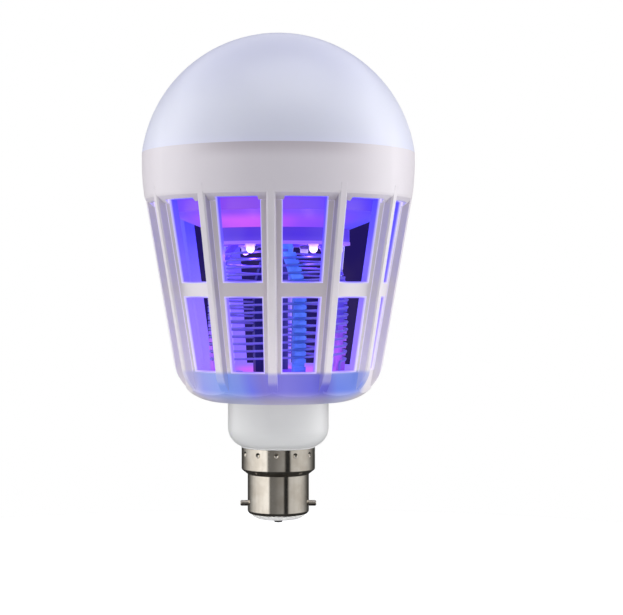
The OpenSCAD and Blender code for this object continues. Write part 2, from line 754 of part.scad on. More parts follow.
// Ceiling of the cage: a drum, a shallow cone and a seat ring, moulded in one
module reflector_cone() {
    in_r = drum_r - cone_wall;
    rim_in = cone_rim_r - cone_wall;
    rise = cone_wall * (1 / cos(cone_slope) - tan(cone_slope / 2));
    drum_floor = uv_board_top + 1.8;
    ring_in = plate_r - 1.6;
    color("#b48cf0") difference() {
        revolve([[0, uv_board_top], [drum_r, uv_board_top], [drum_r, drum_top], [cone_rim_r, cone_rim_z],
                 [cone_rim_r, ledge_z], [plate_r, ledge_z], [plate_r, heat_plate_foot],
                 [ring_in, heat_plate_foot], [ring_in, ledge_z + flange_t], [rim_in, ledge_z + flange_t],
                 [rim_in, cone_rim_z + rise], [in_r, drum_top + rise], [in_r, drum_floor], [0, drum_floor]]);
        translate([0, 0, uv_board_top - 1]) cylinder(h = 5, r = tube_r - tube_wall);
        for (i = [0:2]) at(120 * i)
            translate([uv_screw_r, 0, uv_board_top - 1]) cylinder(h = 5, r = screw_core + seat_gap);
    }
}

module heat_plate() {
    color("#b9bcc0") difference() {
        translate([0, 0, heat_plate_foot]) cylinder(h = heat_plate_t, r = plate_r);
        translate([0, 0, heat_plate_foot - 1]) cylinder(h = heat_plate_t + 2, r = 3);
        for (i = [0:2]) at(60 + 120 * i)
            translate([lamp_screw_r, 0, heat_plate_foot - 1])
                cylinder(h = heat_plate_t + 2, r = screw_core + seat_gap);
    }
}

module lamp_board() {
    color("#f4f4f2") difference() {
        translate([0, 0, plate_top]) cylinder(h = lamp_board_t, r = lamp_board_r);
        for (side = [-1, 1]) translate([side * lead_x, 0, plate_top - 1])
            cylinder(h = lamp_board_t + 2, r = lead_r + seat_gap);
        for (i = [0:2]) at(60 + 120 * i)
            translate([lamp_screw_r, 0, plate_top - 1]) cylinder(h = lamp_board_t + 2, r = screw_core + 0.2);
    }
}

module white_leds() {
    chip = [2.8, 3.5, 0.8];
    color("#f3df8a") {
        for (i = [0:17]) at(20 * i)
            translate([white_ring_r, 0, board_top + chip[2] / 2]) cube(chip, center = true);
        for (i = [0:5]) at(60 * i)
            translate([white_inner_r, 0, board_top + chip[2] / 2]) cube(chip, center = true);
    }
}

module lamp_board_screws() {
    color("#9a9a9c") for (i = [0:2]) at(60 + 120 * i)
        translate([lamp_screw_r, 0, board_top])
            screw(screw_head_r, screw_head_h, screw_core, lamp_board_t + heat_plate_t + deck_bite);
}

dome_diffuser();
cage_housing();
neck_housing();
cap_shell();
bayonet_pin(-1);  // bayonet_pin_left
bayonet_pin(1);  // bayonet_pin_right
cap_insulator();
contact(-1);  // contact_front
contact(1);  // contact_rear
supply_leads();
driver_board();
driver_capacitor();
driver_transformer();
driver_bridge();
pulse_capacitors();
grid_base();
grid_base_screws();
core_tube();
lamp_leads();
live_wire();
neutral_wire();
uv_board();
uv_leds();
uv_board_screws();
reflector_cone();
heat_plate();
lamp_board();
white_leds();
lamp_board_screws();
for (i = [1:posts]) comb_post(i);
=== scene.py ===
import math

import bpy
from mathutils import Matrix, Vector

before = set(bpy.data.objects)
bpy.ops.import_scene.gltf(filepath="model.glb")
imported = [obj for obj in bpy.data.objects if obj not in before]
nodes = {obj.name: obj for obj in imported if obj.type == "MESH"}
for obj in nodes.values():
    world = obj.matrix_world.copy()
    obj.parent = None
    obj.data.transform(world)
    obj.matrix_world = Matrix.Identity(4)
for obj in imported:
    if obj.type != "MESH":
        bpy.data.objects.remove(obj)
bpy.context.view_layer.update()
print("frame loaded")


# Camera

view = {
    "distance": 0.536,      # from the lamp's axis to the lens
    "height": 0.0773,       # eye level above the bayonet pins
    "sensor": 36,
    "nearest": 0.01,
    "focalPixels": 1490,    # focal length in pixels of the photo
    "widthPixels": 623,
    "axisPixel": 278.3,     # column of the lamp's axis in the photo
    "centrePixel": 311.5,
    "horizonPixel": 288,    # row of eye level in the photo
    "middlePixel": 307.5,
}


def makeCamera():
    lens = bpy.data.cameras.new("camera")
    lens.sensor_width = view["sensor"]
    lens.sensor_fit = "HORIZONTAL"
    lens.lens = view["focalPixels"] / view["widthPixels"] * lens.sensor_width
    lens.shift_x = (view["centrePixel"] - view["axisPixel"]) / view["widthPixels"]
    lens.shift_y = (view["horizonPixel"] - view["middlePixel"]) / view["widthPixels"]
    lens.clip_start = view["nearest"]
    camera = bpy.data.objects.new("camera", lens)
    camera.location = (0, -view["distance"], view["height"])
    camera.rotation_euler = (math.pi / 2, 0, 0)
    bpy.context.scene.collection.objects.link(camera)
    bpy.context.scene.camera = camera
    bpy.context.scene.view_settings.view_transform = "Standard"


makeCamera()


# Shader trees

noiseSpan = (0.2, 0.8)      # a noise texture seldom leaves this span


# An sRGB hex colour as linear light. Anything else comes back as it is
def toLinear(colour):
    if not isinstance(colour, str):
        return colour
    channels = [int(colour[i:i + 2], 16) / 255 for i in (1, 3, 5)]
    return tuple(c / 12.92 if c <= 0.04045 else ((c + 0.055) / 1.055) ** 2.4 for c in channels) + (1,)


def setStops(marks, stops):
    for mark, (position, colour) in zip(list(marks), (stops[0], stops[-1])):
        mark.position, mark.color = position, toLinear(colour)
    for position, colour in stops[1:-1]:
        marks.new(position).color = toLinear(colour)


# Links or values for a node's inputs. A node given as a source stands for the first output it has in use
def setSockets(tree, node, sources):
    for socket, source in sources.items():
        if isinstance(source, bpy.types.Node):
            source = next(output for output in source.outputs if output.enabled)
        if isinstance(source, bpy.types.NodeSocket):
            tree.links.new(source, node.inputs[socket])
        else:
            node.inputs[socket].default_value = toLinear(source)


def addNode(tree, kind, settings=None, links=None):
    node = tree.nodes.new("ShaderNode" + kind)
    for name, value in (settings or {}).items():
        if name == "stops":
            setStops(node.color_ramp.elements, value)
        else:
            setattr(node, name, value)
    setSockets(tree, node, links or {})
    return node


# Product of soft steps, and of a mask if one is given. A step rises from 0 to 1 while its value goes from
# one mark to the other, or goes between the two levels that follow the marks
def softSteps(tree, *steps, mask=None):
    for value, low, high, *levels in steps:
        start, end = levels or (0.0, 1.0)
        step = addNode(tree, "MapRange", {"interpolation_type": "SMOOTHSTEP"},
                       {"Value": value, "From Min": low, "From Max": high, "To Min": start, "To Max": end})
        mask = step if mask is None else addNode(tree, "Math", {"operation": "MULTIPLY"}, {0: mask, 1: step})
    return mask


# Colour from a list of stops while a value goes from one mark to the other
def colourAlong(tree, value, low, high, stops, ease="LINEAR"):
    along = addNode(tree, "MapRange", {"interpolation_type": ease},
                    {"Value": value, "From Min": low, "From Max": high})
    return addNode(tree, "ValToRGB", {"stops": stops}, {0: along})


# Colours one over another. A coat is a mask and the colour that shows where the mask is 1
def layColours(tree, under, *coats):
    for mask, colour in coats:
        under = addNode(tree, "Mix", {"data_type": "RGBA"}, {0: mask, 6: under, 7: colour})
    return under


# Height, radius and azimuth of the shaded point in the object's frame, and the direction away from its axis
def surfaceField(tree):
    place = addNode(tree, "TexCoord").outputs["Object"]
    parts = addNode(tree, "SeparateXYZ", links={0: place}).outputs
    flat = addNode(tree, "CombineXYZ", links={0: parts[0], 1: parts[1], 2: 0.0})
    back = addNode(tree, "Math", {"operation": "MULTIPLY"}, {0: parts[1], 1: -1.0})
    return {
        "object": place, "height": parts[2],
        "radius": addNode(tree, "VectorMath", {"operation": "LENGTH"}, {0: flat}),
        "azimuth": addNode(tree, "Math", {"operation": "ARCTAN2"}, {0: parts[0], 1: back}),
        "outward": addNode(tree, "VectorMath", {"operation": "NORMALIZE"}, {0: flat}),
    }


# 1 towards an azimuth and -1 away from it. With two lobes it is 1 both ways and -1 at the sides
def facingSide(tree, field, azimuth=0.0, lobes=1.0):
    turned = addNode(tree, "Math", {"operation": "MULTIPLY_ADD"},
                     {0: field["azimuth"], 1: lobes, 2: -lobes * azimuth})
    return addNode(tree, "Math", {"operation": "COSINE"}, {0: turned})


def perMetre(millimetres):
    return 1000 / millimetres


def emptyMaterial(name):
    material = bpy.data.materials.new(name)
    material.use_nodes = True
    material.node_tree.nodes.clear()
    return material, material.node_tree


# Floor and light

studio = {
    "world": "#EEF0F6",         # colour of the light that comes from all round
    "worldStrength": 0.6,
    "backdrop": "#FFFFFF",
    "lamps": [                  # name, azimuth from -Y, distance, height, size, watts
        ("leftSoftbox", -104, 0.75, 0.14, (0.5, 0.9), 3.9),
        ("rightSoftbox", 102, 0.75, 0.14, (0.5, 0.9), 4.6),
        ("topSoftbox", 20, 0.2, 0.85, (0.6, 0.6), 1.8),
    ],
    "aim": (0, 0, 0.085),
    "neckSpot": {"place": (0, -0.5, 0.02), "aim": (0, 0, 0.024), "watts": 12, "cone": 7, "softEdge": 0.6,
                 "size": 0.05},
}

floorDisc = {
    "drop": 0.07,               # below the pins
    "radius": 0.45, "sides": 64,
    "pale": "#F4F4F4", "deep": "#EFEFEF", "fibre": 3,       # paper with fibres of 3 mm
    "glow": 0.4, "glowColour": "#FFFFFF",                   # what the camera sees on top of its own light
}

# Ring round the lamp that only its mirrors see, closed by a disc at the foot
mirrorRing = {
    "levels": [                 # azimuth from -Y, grey level
        (-180, 0.05), (-146, 0.05), (-134, 0.13), (-120, 0.27), (-106, 0.48), (-85, 0.76), (-58, 0.97),
        (-36, 0.99), (-31, 0.12), (-8, 0.18), (19, 0.28), (22, 0.015), (36, 0.012), (39, 0.46), (62, 0.56),
        (84, 0.54), (104, 0.38), (120, 0.18), (138, 0.05), (180, 0.05),
    ],
    "discLevels": [(-180, 0.03), (180, 0.03)],
    "reach": 0.28, "foot": -0.065, "top": 0.3, "parts": 96,
    "colour": "#FFFCF8", "nap": 60, "napLevels": (0.966, 1.134),    # nap in millimetres
}

# Painted shade: a dark patch of backdrop that the camera sees through the cage's far windows. Its sizes are
# shares of the distance ahead
backdropShade = {
    "near": "#21175E", "far": "#30255A",
    "halfWidth": 0.071, "widens": 0.2,      # half width at eye level, and how it grows with height
    "low": -0.056, "high": 0.054, "soft": 0.003,
    "clouds": 30.0, "cloudSpan": (0.35, 0.65),
    "leastAhead": 0.001,                    # nothing is divided by less
}


# Place at a distance from the axis, at an azimuth in degrees from -Y towards +X
def aroundAxis(distance, azimuth, height):
    turn = math.radians(azimuth)
    return distance * math.sin(turn), -distance * math.cos(turn), height


def mirrorCard(name, corners, faces, levels):
    mesh = bpy.data.meshes.new(name)
    mesh.from_pydata(corners, [], faces)
    card = bpy.data.objects.new(name, mesh)
    bpy.context.scene.collection.objects.link(card)
    card.visible_camera = card.visible_diffuse = card.visible_shadow = card.visible_transmission = False
    material, tree = emptyMaterial(name + "Felt")
    field = surfaceField(tree)
    stops = [((azimuth + 180) / 360, (grey, grey, grey, 1)) for azimuth, grey in levels]
    level = colourAlong(tree, field["azimuth"], -math.pi, math.pi, stops)
    nap = addNode(tree, "TexNoise", links={"Vector": field["object"], "Scale": perMetre(mirrorRing["nap"])})
    strength = softSteps(tree, (nap, *noiseSpan, *mirrorRing["napLevels"]), mask=level)
    glow = addNode(tree, "Emission", links={"Color": mirrorRing["colour"], "Strength": strength})
    addNode(tree, "OutputMaterial", links={"Surface": glow})
    mesh.materials.append(material)


def makeCards():
    parts = mirrorRing["parts"]
    corners = [aroundAxis(mirrorRing["reach"], 360 / parts * i, mirrorRing[end])
               for end in ("foot", "top") for i in range(parts)]
    sides = [(i, (i + 1) % parts, (i + 1) % parts + parts, i + parts) for i in range(parts)]
    mirrorCard("mirrorRing", corners, sides, mirrorRing["levels"])
    mirrorCard("mirrorFloor", corners[:parts], [tuple(range(parts))], mirrorRing["discLevels"])


# Painted shade in the backdrop, seen by camera rays only
def paintBackdropShade(tree, cameraRay):
    place = addNode(tree, "TexCoord").outputs["Generated"]
    parts = addNode(tree, "SeparateXYZ", links={0: place}).outputs
    ahead = addNode(tree, "Math", {"operation": "MAXIMUM"}, {0: parts[1], 1: backdropShade["leastAhead"]})
    aside = addNode(tree, "Math", {"operation": "DIVIDE"}, {0: parts[0], 1: ahead})
    aside = addNode(tree, "Math", {"operation": "ABSOLUTE"}, {0: aside})
    up = addNode(tree, "Math", {"operation": "DIVIDE"}, {0: parts[2], 1: ahead})
    edge = addNode(tree, "Math", {"operation": "MULTIPLY_ADD"},
                   {0: up, 1: backdropShade["widens"], 2: backdropShade["halfWidth"]})
    inward = addNode(tree, "Math", {"operation": "SUBTRACT"}, {0: edge, 1: aside})
    mask = softSteps(tree, (inward, 0.0, backdropShade["soft"]), (up, backdropShade["low"], backdropShade["low"] + backdropShade["soft"]),
                     (up, backdropShade["high"], backdropShade["high"] - backdropShade["soft"]))
    mask = addNode(tree, "Math", {"operation": "MULTIPLY"}, {0: mask, 1: cameraRay})
    cloud = addNode(tree, "TexNoise", links={"Vector": place, "Scale": backdropShade["clouds"]})
    return mask, layColours(tree, backdropShade["near"], (softSteps(tree, (cloud, *backdropShade["cloudSpan"])), backdropShade["far"]))


def makeWorld():
    world = bpy.data.worlds.new("studio")
    bpy.context.scene.world = world
    world.use_nodes = True
    tree = world.node_tree
    tree.nodes.clear()
    rays = addNode(tree, "LightPath").outputs
    seen = addNode(tree, "Math", {"operation": "ADD"}, {0: rays["Is Camera Ray"], 1: rays["Is Glossy Ray"]})
    seen = addNode(tree, "Math", {"operation": "ADD", "use_clamp": True},
                   {0: seen, 1: rays["Is Transmission Ray"]})
    light = addNode(tree, "Background", links={"Color": studio["world"], "Strength": studio["worldStrength"]})
    # Straight behind the lamp the backdrop carries painted shade, no wider than the lamp, which hides the
    # edges
    colour = layColours(tree, studio["backdrop"], paintBackdropShade(tree, rays["Is Camera Ray"]))
    backdrop = addNode(tree, "Background", links={"Color": colour, "Strength": 1.0})
    mixed = addNode(tree, "MixShader", links={0: seen, 1: light, 2: backdrop})
    addNode(tree, "OutputWorld", links={"Surface": mixed})


def makeFloor():
    sides = floorDisc["sides"]
    rim = [aroundAxis(floorDisc["radius"], 360 / sides * i, 0) for i in range(sides)]
    mesh = bpy.data.meshes.new("floor")
    mesh.from_pydata(rim, [], [tuple(range(sides))])
    floor = bpy.data.objects.new("floor", mesh)
    floor.location.z = -floorDisc["drop"]
    bpy.context.scene.collection.objects.link(floor)
    material, tree = emptyMaterial("floorPaper")
    rays = addNode(tree, "LightPath").outputs
    place = addNode(tree, "TexCoord").outputs["Object"]
    fibre = addNode(tree, "TexNoise", links={"Vector": place, "Scale": perMetre(floorDisc["fibre"])})
    tint = layColours(tree, floorDisc["pale"], (fibre, floorDisc["deep"]))
    paper = addNode(tree, "BsdfDiffuse", links={"Color": tint})
    glow = addNode(tree, "Emission", links={"Color": floorDisc["glowColour"], "Strength": floorDisc["glow"]})
    lit = addNode(tree, "AddShader", links={0: paper, 1: glow})
    mixed = addNode(tree, "MixShader", links={0: rays["Is Camera Ray"], 1: paper, 2: lit})
    addNode(tree, "OutputMaterial", links={"Surface": mixed})
    mesh.materials.append(material)


def hangLamp(lamp, place, aim):
    holder = bpy.data.objects.new(lamp.name, lamp)
    holder.location = place
    holder.rotation_euler = (Vector(aim) - holder.location).to_track_quat("-Z", "Y").to_euler()
    bpy.context.scene.collection.objects.link(holder)
    return holder


def lightStudio():
    for name, azimuth, distance, height, size, watts in studio["lamps"]:
        lamp = bpy.data.lights.new(name, "AREA")
        lamp.shape = "RECTANGLE"
        lamp.size, lamp.size_y = size
        lamp.energy = watts
        hangLamp(lamp, aroundAxis(distance, azimuth, height), studio["aim"])
    spot = studio["neckSpot"]
    lamp = bpy.data.lights.new("neckSpot", "SPOT")
    lamp.energy = spot["watts"]
    lamp.spot_size = math.radians(spot["cone"])
    lamp.spot_blend = spot["softEdge"]
    lamp.shadow_soft_size = spot["size"]
    hangLamp(lamp, spot["place"], spot["aim"]).visible_glossy = False       # no streak on the cap


makeWorld()
makeFloor()
makeCards()
lightStudio()
print("camera and studio made")


# Materials. Grain, its depth, patches, stains and lines are in millimetres, and other sizes in metres.
# Two numbers in brackets are the marks of a soft step, and four are its marks and its levels. Names that end
# in Levels hold the levels alone, and the marks are noiseSpan

def startMaterial(name):
    material, tree = emptyMaterial(name)
    shader = addNode(tree, "BsdfPrincipled")
    addNode(tree, "OutputMaterial", links={"Surface": shader})
    return material, tree, shader


# Surface texture of a piece: fine bumps and a gloss that changes from place to place
def grain(tree, shader, piece):
    place = addNode(tree, "TexCoord").outputs["Object"]
    noise = addNode(tree, "TexNoise",
                    links={"Vector": place, "Scale": perMetre(piece["grain"]), "Detail": 3.0})
    bump = addNode(tree, "Bump", links={"Height": noise, "Distance": piece["grainDepth"] / 1000,
                                        "Strength": piece.get("bump", 0.5)})
    rough = addNode(tree, "MapRange",
                    links={"Value": noise, "To Min": piece["roughness"] - piece["glossSpread"],
                           "To Max": piece["roughness"] + piece["glossSpread"]})
    setSockets(tree, shader, {"Normal": bump, "Roughness": rough})
    return noise


# Light that enters the plastic and comes out a little way off
def milkiness(tree, shader, piece):
    setSockets(tree, shader, {"IOR": piece["ior"], "Subsurface Weight": piece["milky"],
                              "Subsurface Radius": piece["milkyReach"], "Subsurface Scale": 1.0})


opal = {
    "low": "#E5E7FA", "high": "#CACCE8", "rise": (0.136, 0.166),    # paler at the collar, greyer above
    "patch": 40, "patchLevels": (-0.06, 0.06),
    "roughness": 0.34, "glossSpread": 0.03, "grain": 0.5, "grainDepth": 0.004, "bump": 0.3,
    "ior": 1.58, "milky": 0.25, "milkyReach": (0.004, 0.004, 0.005),
}


def opalPolycarbonate():
    # Frosted inside, smooth outside: soft body colour with a broad, weak gloss
    material, tree, shader = startMaterial("opalPolycarbonate")
    grain(tree, shader, opal)
    milkiness(tree, shader, opal)
    field = surfaceField(tree)
    rise = softSteps(tree, (field["height"], *opal["rise"]))
    cloud = addNode(tree, "TexNoise", links={"Vector": field["object"], "Scale": perMetre(opal["patch"])})
    cloud = softSteps(tree, (cloud, *noiseSpan, *opal["patchLevels"]))
    rise = addNode(tree, "Math", {"operation": "ADD"}, {0: rise, 1: cloud})
    setSockets(tree, shader, {"Base Color": layColours(tree, opal["low"], (rise, opal["high"]))})
    return material


cage = {
    "pale": "#E9E3E8", "deep": "#DFD8DD", "patch": 30,      # collar and crests of the ribs
    "roughness": 0.36, "glossSpread": 0.04, "grain": 0.35, "grainDepth": 0.003, "bump": 0.25,
    "ior": 1.53, "milky": 0.04, "milkyReach": (0.002, 0.002, 0.002),
    "foot": 0.0372, "footRadius": 0.0353, "lean": 0.1745,   # foot of the straight side, and its slope

    # Depths are taken below the crests, and a facing is 1 straight outward and -1 straight inward. A side is
    # 1 in front and behind and -1 at the sides, but sillSide is 1 in front and -1 behind
    # Painted light: the rims, the inner wall and the far wall's sill glow violet and pink, with a violet body
    # where they glow
    "rim": "#E9E0FF", "rimFacing": (0.93, 0.86), "rimDepth": (0.0027, 0.0030),
    "rimHeight": (0.0478, 0.0484),                          # no lit rims below the windows
    "innerFacing": (-0.05, -0.3), "innerDepth": (0.0030, 0.0046),
    "wallFoot": 0.045, "wallTop": 0.108,
    "wall": [(0.0, "#9C7CFA"), (0.42, "#8E74F6"), (0.58, "#6A5CF2"), (0.8, "#504CF0"), (1.0, "#4A45EE")],
    "sill": "#E874F0", "sillHeight": (0.0488, 0.0466), "sillSide": (-0.8, -0.93),   # painted pink light low on the far wall
    "litGlow": (0.0, 1.0, 0.5, 0.72), "litBody": "#5A48D8", "litBodyShare": (0.0, 1.0, 0.15, 0.9),

    # Painted shade: sunk panels and the flanks of the ribs are painted darker than the crests
    "panel": "#CCC3C9", "panelDepth": (0.0008, 0.0018), "panelSide": (0.1, 0.85),
    "flankShade": "#B5AEB6", "flankFacing": (0.8, 0.5), "flankOuter": (-0.05, 0.05),
    "flankHeight": (0.112, 0.108), "flankSide": (-0.3, 0.5, 0.25, 1.0),

    # Painted violet light shows through the plastic below these heights and fades out above the neck
    "bowlTop": (0.0493, 0.0476), "bowlFoot": (0.0380, 0.0425, 0.25, 1.0),
    "bowlFacing": (-0.05, 0.1), "bowlSide": (-0.85, -0.2), "bowlDepth": (0.0006, 0.0016, 0.7, 1.0),
    "bowlPatch": 26, "bowlPatchGlow": (0.25, 0.75, 1.1, 0.85), "wanderLevels": (-0.08, 0.08),
    "bowlGlow": 0.52, "bowlBody": "#2C3290", "bowlGlowTint": 0.92,
    "bowlTurn": 1.05,                                       # the colours run from minus to plus this azimuth
    "bowlColours": [
        (0.0, "#A8ACF4"), (0.22, "#78AAF8"), (0.33, "#6C98FC"), (0.385, "#4C64FC"), (0.45, "#6C5CD8"),
        (0.55, "#7A70EC"), (0.66, "#7470E6"), (0.73, "#6058C4"), (0.8, "#6C92EC"), (1.0, "#88A6F0"),
    ],
}


def whiteAbs():
    # Glossy white on the outside. The violet lamps' light is painted on as glow: it floods the inner wall,
    # catches the windows' rims and shines through the thin bowl
    material, tree, shader = startMaterial("whiteAbs")
    grain(tree, shader, cage)
    milkiness(tree, shader, cage)
    field = surfaceField(tree)
    height = field["height"]
    front = facingSide(tree, field)
    frontBack = facingSide(tree, field, lobes=2.0)
    normal = addNode(tree, "NewGeometry").outputs["True Normal"]
    facing = addNode(tree, "VectorMath", {"operation": "DOT_PRODUCT"}, {0: normal, 1: field["outward"]})
    climb = addNode(tree, "Math", {"operation": "SUBTRACT"}, {0: height, 1: cage["foot"]})
    crest = addNode(tree, "Math", {"operation": "MULTIPLY_ADD"},
                    {0: climb, 1: cage["lean"], 2: cage["footRadius"]})
    depth = addNode(tree, "Math", {"operation": "SUBTRACT"}, {0: crest, 1: field["radius"]})

    # Painted light on the rims and jambs of the windows, then on the inner wall
    rim = softSteps(tree, (facing, *cage["rimFacing"]), (height, *cage["rimHeight"]),
                    (depth, *cage["rimDepth"]))
    inner = softSteps(tree, (facing, *cage["innerFacing"]))
    lit = addNode(tree, "Math", {"operation": "MAXIMUM"}, {0: rim, 1: inner})
    wall = colourAlong(tree, height, cage["wallFoot"], cage["wallTop"], cage["wall"])
    sill = softSteps(tree, (height, *cage["sillHeight"]), (front, *cage["sillSide"]))
    deep = softSteps(tree, (depth, *cage["innerDepth"]))
    litColour = layColours(tree, cage["rim"], (deep, layColours(tree, wall, (sill, cage["sill"]))))
    litLevel = softSteps(tree, (deep, *cage["litGlow"]), mask=lit)

    # Painted light through the bowl, in front and behind
    patch = addNode(tree, "TexNoise", links={"Vector": field["object"], "Scale": perMetre(cage["bowlPatch"]),
                                             "Detail": 0.5})
    bowl = softSteps(tree, (height, *cage["bowlTop"]), (facing, *cage["bowlFacing"]),
                     (frontBack, *cage["bowlSide"]), (height, *cage["bowlFoot"]),
                     (patch, *cage["bowlPatchGlow"]), (depth, *cage["bowlDepth"]))
    wander = softSteps(tree, (patch, *noiseSpan, *cage["wanderLevels"]))
    across = addNode(tree, "Math", {"operation": "ADD"}, {0: field["azimuth"], 1: wander})
    bowlColour = colourAlong(tree, across, -cage["bowlTurn"], cage["bowlTurn"], cage["bowlColours"])
    bowlLevel = addNode(tree, "Math", {"operation": "MULTIPLY"}, {0: bowl, 1: cage["bowlGlow"]})
    level = addNode(tree, "Math", {"operation": "MAXIMUM"}, {0: litLevel, 1: bowlLevel})

    # Painted shade: in front and behind, sunk panels and the sides of the ribs are darker than the crests
    sunkShade = softSteps(tree, (depth, *cage["panelDepth"]), (frontBack, *cage["panelSide"]))
    flankShade = softSteps(tree, (facing, *cage["flankFacing"]), (facing, *cage["flankOuter"]),
                      (height, *cage["flankHeight"]), (frontBack, *cage["flankSide"]))
    cloud = addNode(tree, "TexNoise", links={"Vector": field["object"], "Scale": perMetre(cage["patch"])})
    # Painted light: where the bowl glows, its body is painted dark blue
    stainAndGlowTint = addNode(tree, "Math", {"operation": "MULTIPLY"}, {0: bowl, 1: cage["bowlGlowTint"]})
    litBody = softSteps(tree, (deep, *cage["litBodyShare"]), mask=lit)
    body = layColours(tree, cage["pale"], (cloud, cage["deep"]), (sunkShade, cage["panel"]),
                      (flankShade, cage["flankShade"]), (stainAndGlowTint, cage["bowlBody"]), (litBody, cage["litBody"]))
    setSockets(tree, shader, {"Base Color": body, "Emission Strength": level,
                              "Emission Color": layColours(tree, bowlColour, (lit, litColour))})
    return material


neck = {
    "pale": "#D4D4D3", "deep": "#CCCCCA", "patch": 18,
    "roughness": 0.34, "glossSpread": 0.04, "grain": 0.4, "grainDepth": 0.003, "bump": 0.25,
    "ior": 1.53, "milky": 0.1, "milkyReach": (0.002, 0.002, 0.002),
}


def greyAbs():
    # A shade greyer than the cage, with the same moulded gloss
    material, tree, shader = startMaterial("greyAbs")
    grain(tree, shader, neck)
    milkiness(tree, shader, neck)
    place = addNode(tree, "TexCoord").outputs["Object"]
    cloud = addNode(tree, "TexNoise", links={"Vector": place, "Scale": perMetre(neck["patch"])})
    setSockets(tree, shader, {"Base Color": layColours(tree, neck["pale"], (cloud, neck["deep"]))})
    return material


metalCap = {
    "pale": "#F1ECE3", "deep": "#E2DBD0", "stainAndGlowTint": 6, "stainSpan": (0.35, 0.7),
    "smoothest": 0.09, "roughest": 0.18,
    "lines": 0.48, "lineDepth": 0.001, "bump": 0.3,     # drawing lines, coarser than real ones, to show
    "aroundShare": 0.002,                               # how little they change on the way round
}


def nickelPlatedBrass():
    # Drawn sheet with a dull nickel plate: fine lines round the barrel break up the reflections
    material, tree, shader = startMaterial("nickelPlatedBrass")
    field = surfaceField(tree)
    around = addNode(tree, "Math", {"operation": "MULTIPLY"},
                     {0: field["azimuth"], 1: metalCap["aroundShare"]})
    stretched = addNode(tree, "CombineXYZ", links={0: around, 1: field["radius"], 2: field["height"]})
    lines = addNode(tree, "TexNoise",
                    links={"Vector": stretched, "Scale": perMetre(metalCap["lines"]), "Detail": 2.0})
    stainAndGlowTint = addNode(tree, "TexNoise",
                    links={"Vector": field["object"], "Scale": perMetre(metalCap["stainAndGlowTint"]), "Detail": 3.0})
    stainAndGlowTint = softSteps(tree, (stainAndGlowTint, *metalCap["stainSpan"]))
    rough = addNode(tree, "MapRange", links={"Value": lines, "To Min": metalCap["smoothest"],
                                             "To Max": metalCap["roughest"]})
    bump = addNode(tree, "Bump", links={"Height": lines, "Distance": metalCap["lineDepth"] / 1000,
                                        "Strength": metalCap["bump"]})
    setSockets(tree, shader, {"Base Color": layColours(tree, metalCap["pale"], (stainAndGlowTint, metalCap["deep"])),
                              "Roughness": rough, "Normal": bump, "Metallic": 1.0})
    return material


# Body colour in two shades over a surface grain of the given size
def plainMaterial(name, pale, deep, roughness, size, depth, metallic=0.0, ior=None, glow=None):
    material, tree, shader = startMaterial(name)
    noise = grain(tree, shader, {"grain": size, "grainDepth": depth, "roughness": roughness,
                                 "glossSpread": 0.06})
    setSockets(tree, shader, {"Base Color": layColours(tree, pale, (noise, deep)), "Metallic": metallic})
    if ior:
        setSockets(tree, shader, {"IOR": ior})
    if glow:
        setSockets(tree, shader, {"Emission Color": glow[0], "Emission Strength": glow[1]})
    return material


ceiling = {
    "body": "#4A2468", "glow": 0.88,
    "roughness": 0.42, "glossSpread": 0.05, "grain": 0.5, "grainDepth": 0.003,
    "drumFoot": 0.0936, "drumTop": 0.0982, "coneFoot": (0.0981, 0.0985),    # heights of the drum and the cone
    "outward": (0.031, 0.0385),                 # the cone ends in an upright rim at the second radius
    "warmest": -0.42, "bluest": -0.4,           # azimuth of the warmest light, and the side where it is blue
    "drum": [(0.0, "#5A40E0"), (0.4, "#4430DA"), (1.0, "#4A32D8")],
    "inner": [(0.0, "#3E40F0"), (0.35, "#5448F4"), (0.6, "#7C4AF4"), (0.85, "#9450FA"), (0.95, "#BC56EC"),
              (1.0, "#D25EF0")],
    "outer": [(0.0, "#3E40F0"), (0.5, "#5A46F0"), (0.85, "#7450F6"), (1.0, "#8A4CEA")],
}


def litPolypropylene():
    # White reflector with painted light from the violet lamps: magenta in front on the left, violet to the
    # right, blue farther round
    material, tree, shader = startMaterial("litPolypropylene")
    grain(tree, shader, ceiling)
    field = surfaceField(tree)
    warm = facingSide(tree, field, ceiling["warmest"])
    inner = colourAlong(tree, warm, ceiling["bluest"], 1.0, ceiling["inner"])
    outer = colourAlong(tree, warm, ceiling["bluest"], 1.0, ceiling["outer"])
    cone = layColours(tree, inner, (softSteps(tree, (field["radius"], *ceiling["outward"])), outer))
    drum = colourAlong(tree, field["height"], ceiling["drumFoot"], ceiling["drumTop"], ceiling["drum"])
    colour = layColours(tree, drum, (softSteps(tree, (field["height"], *ceiling["coneFoot"])), cone))
    setSockets(tree, shader, {"Base Color": ceiling["body"], "Emission Color": colour,
                              "Emission Strength": ceiling["glow"]})
    return material


board = {
    "body": "#5A34B0", "glow": 0.72, "roughness": 0.5, "glossSpread": 0.05, "grain": 0.3, "grainDepth": 0.002,
    "middle": 0.006, "edge": 0.0255, "colours": [(0.0, "#3A22B0"), (0.8, "#6A40D8"), (1.0, "#A070F0")],
}


# A white disc with painted violet light, whose glow changes colour from the middle to the edge
def litDisc(name, piece):
    material, tree, shader = startMaterial(name)
    grain(tree, shader, piece)
    radius = surfaceField(tree)["radius"]
    colour = colourAlong(tree, radius, piece["middle"], piece["edge"], piece["colours"], "SMOOTHSTEP")
    setSockets(tree, shader, {"Base Color": piece["body"], "Emission Color": colour,
                              "Emission Strength": piece["glow"]})
    return material


def litSolderMask():
    # White solder mask beside the violet lamps, with painted light: its rim is the brightest pink line in the
    # cage
    return litDisc("litSolderMask", board)


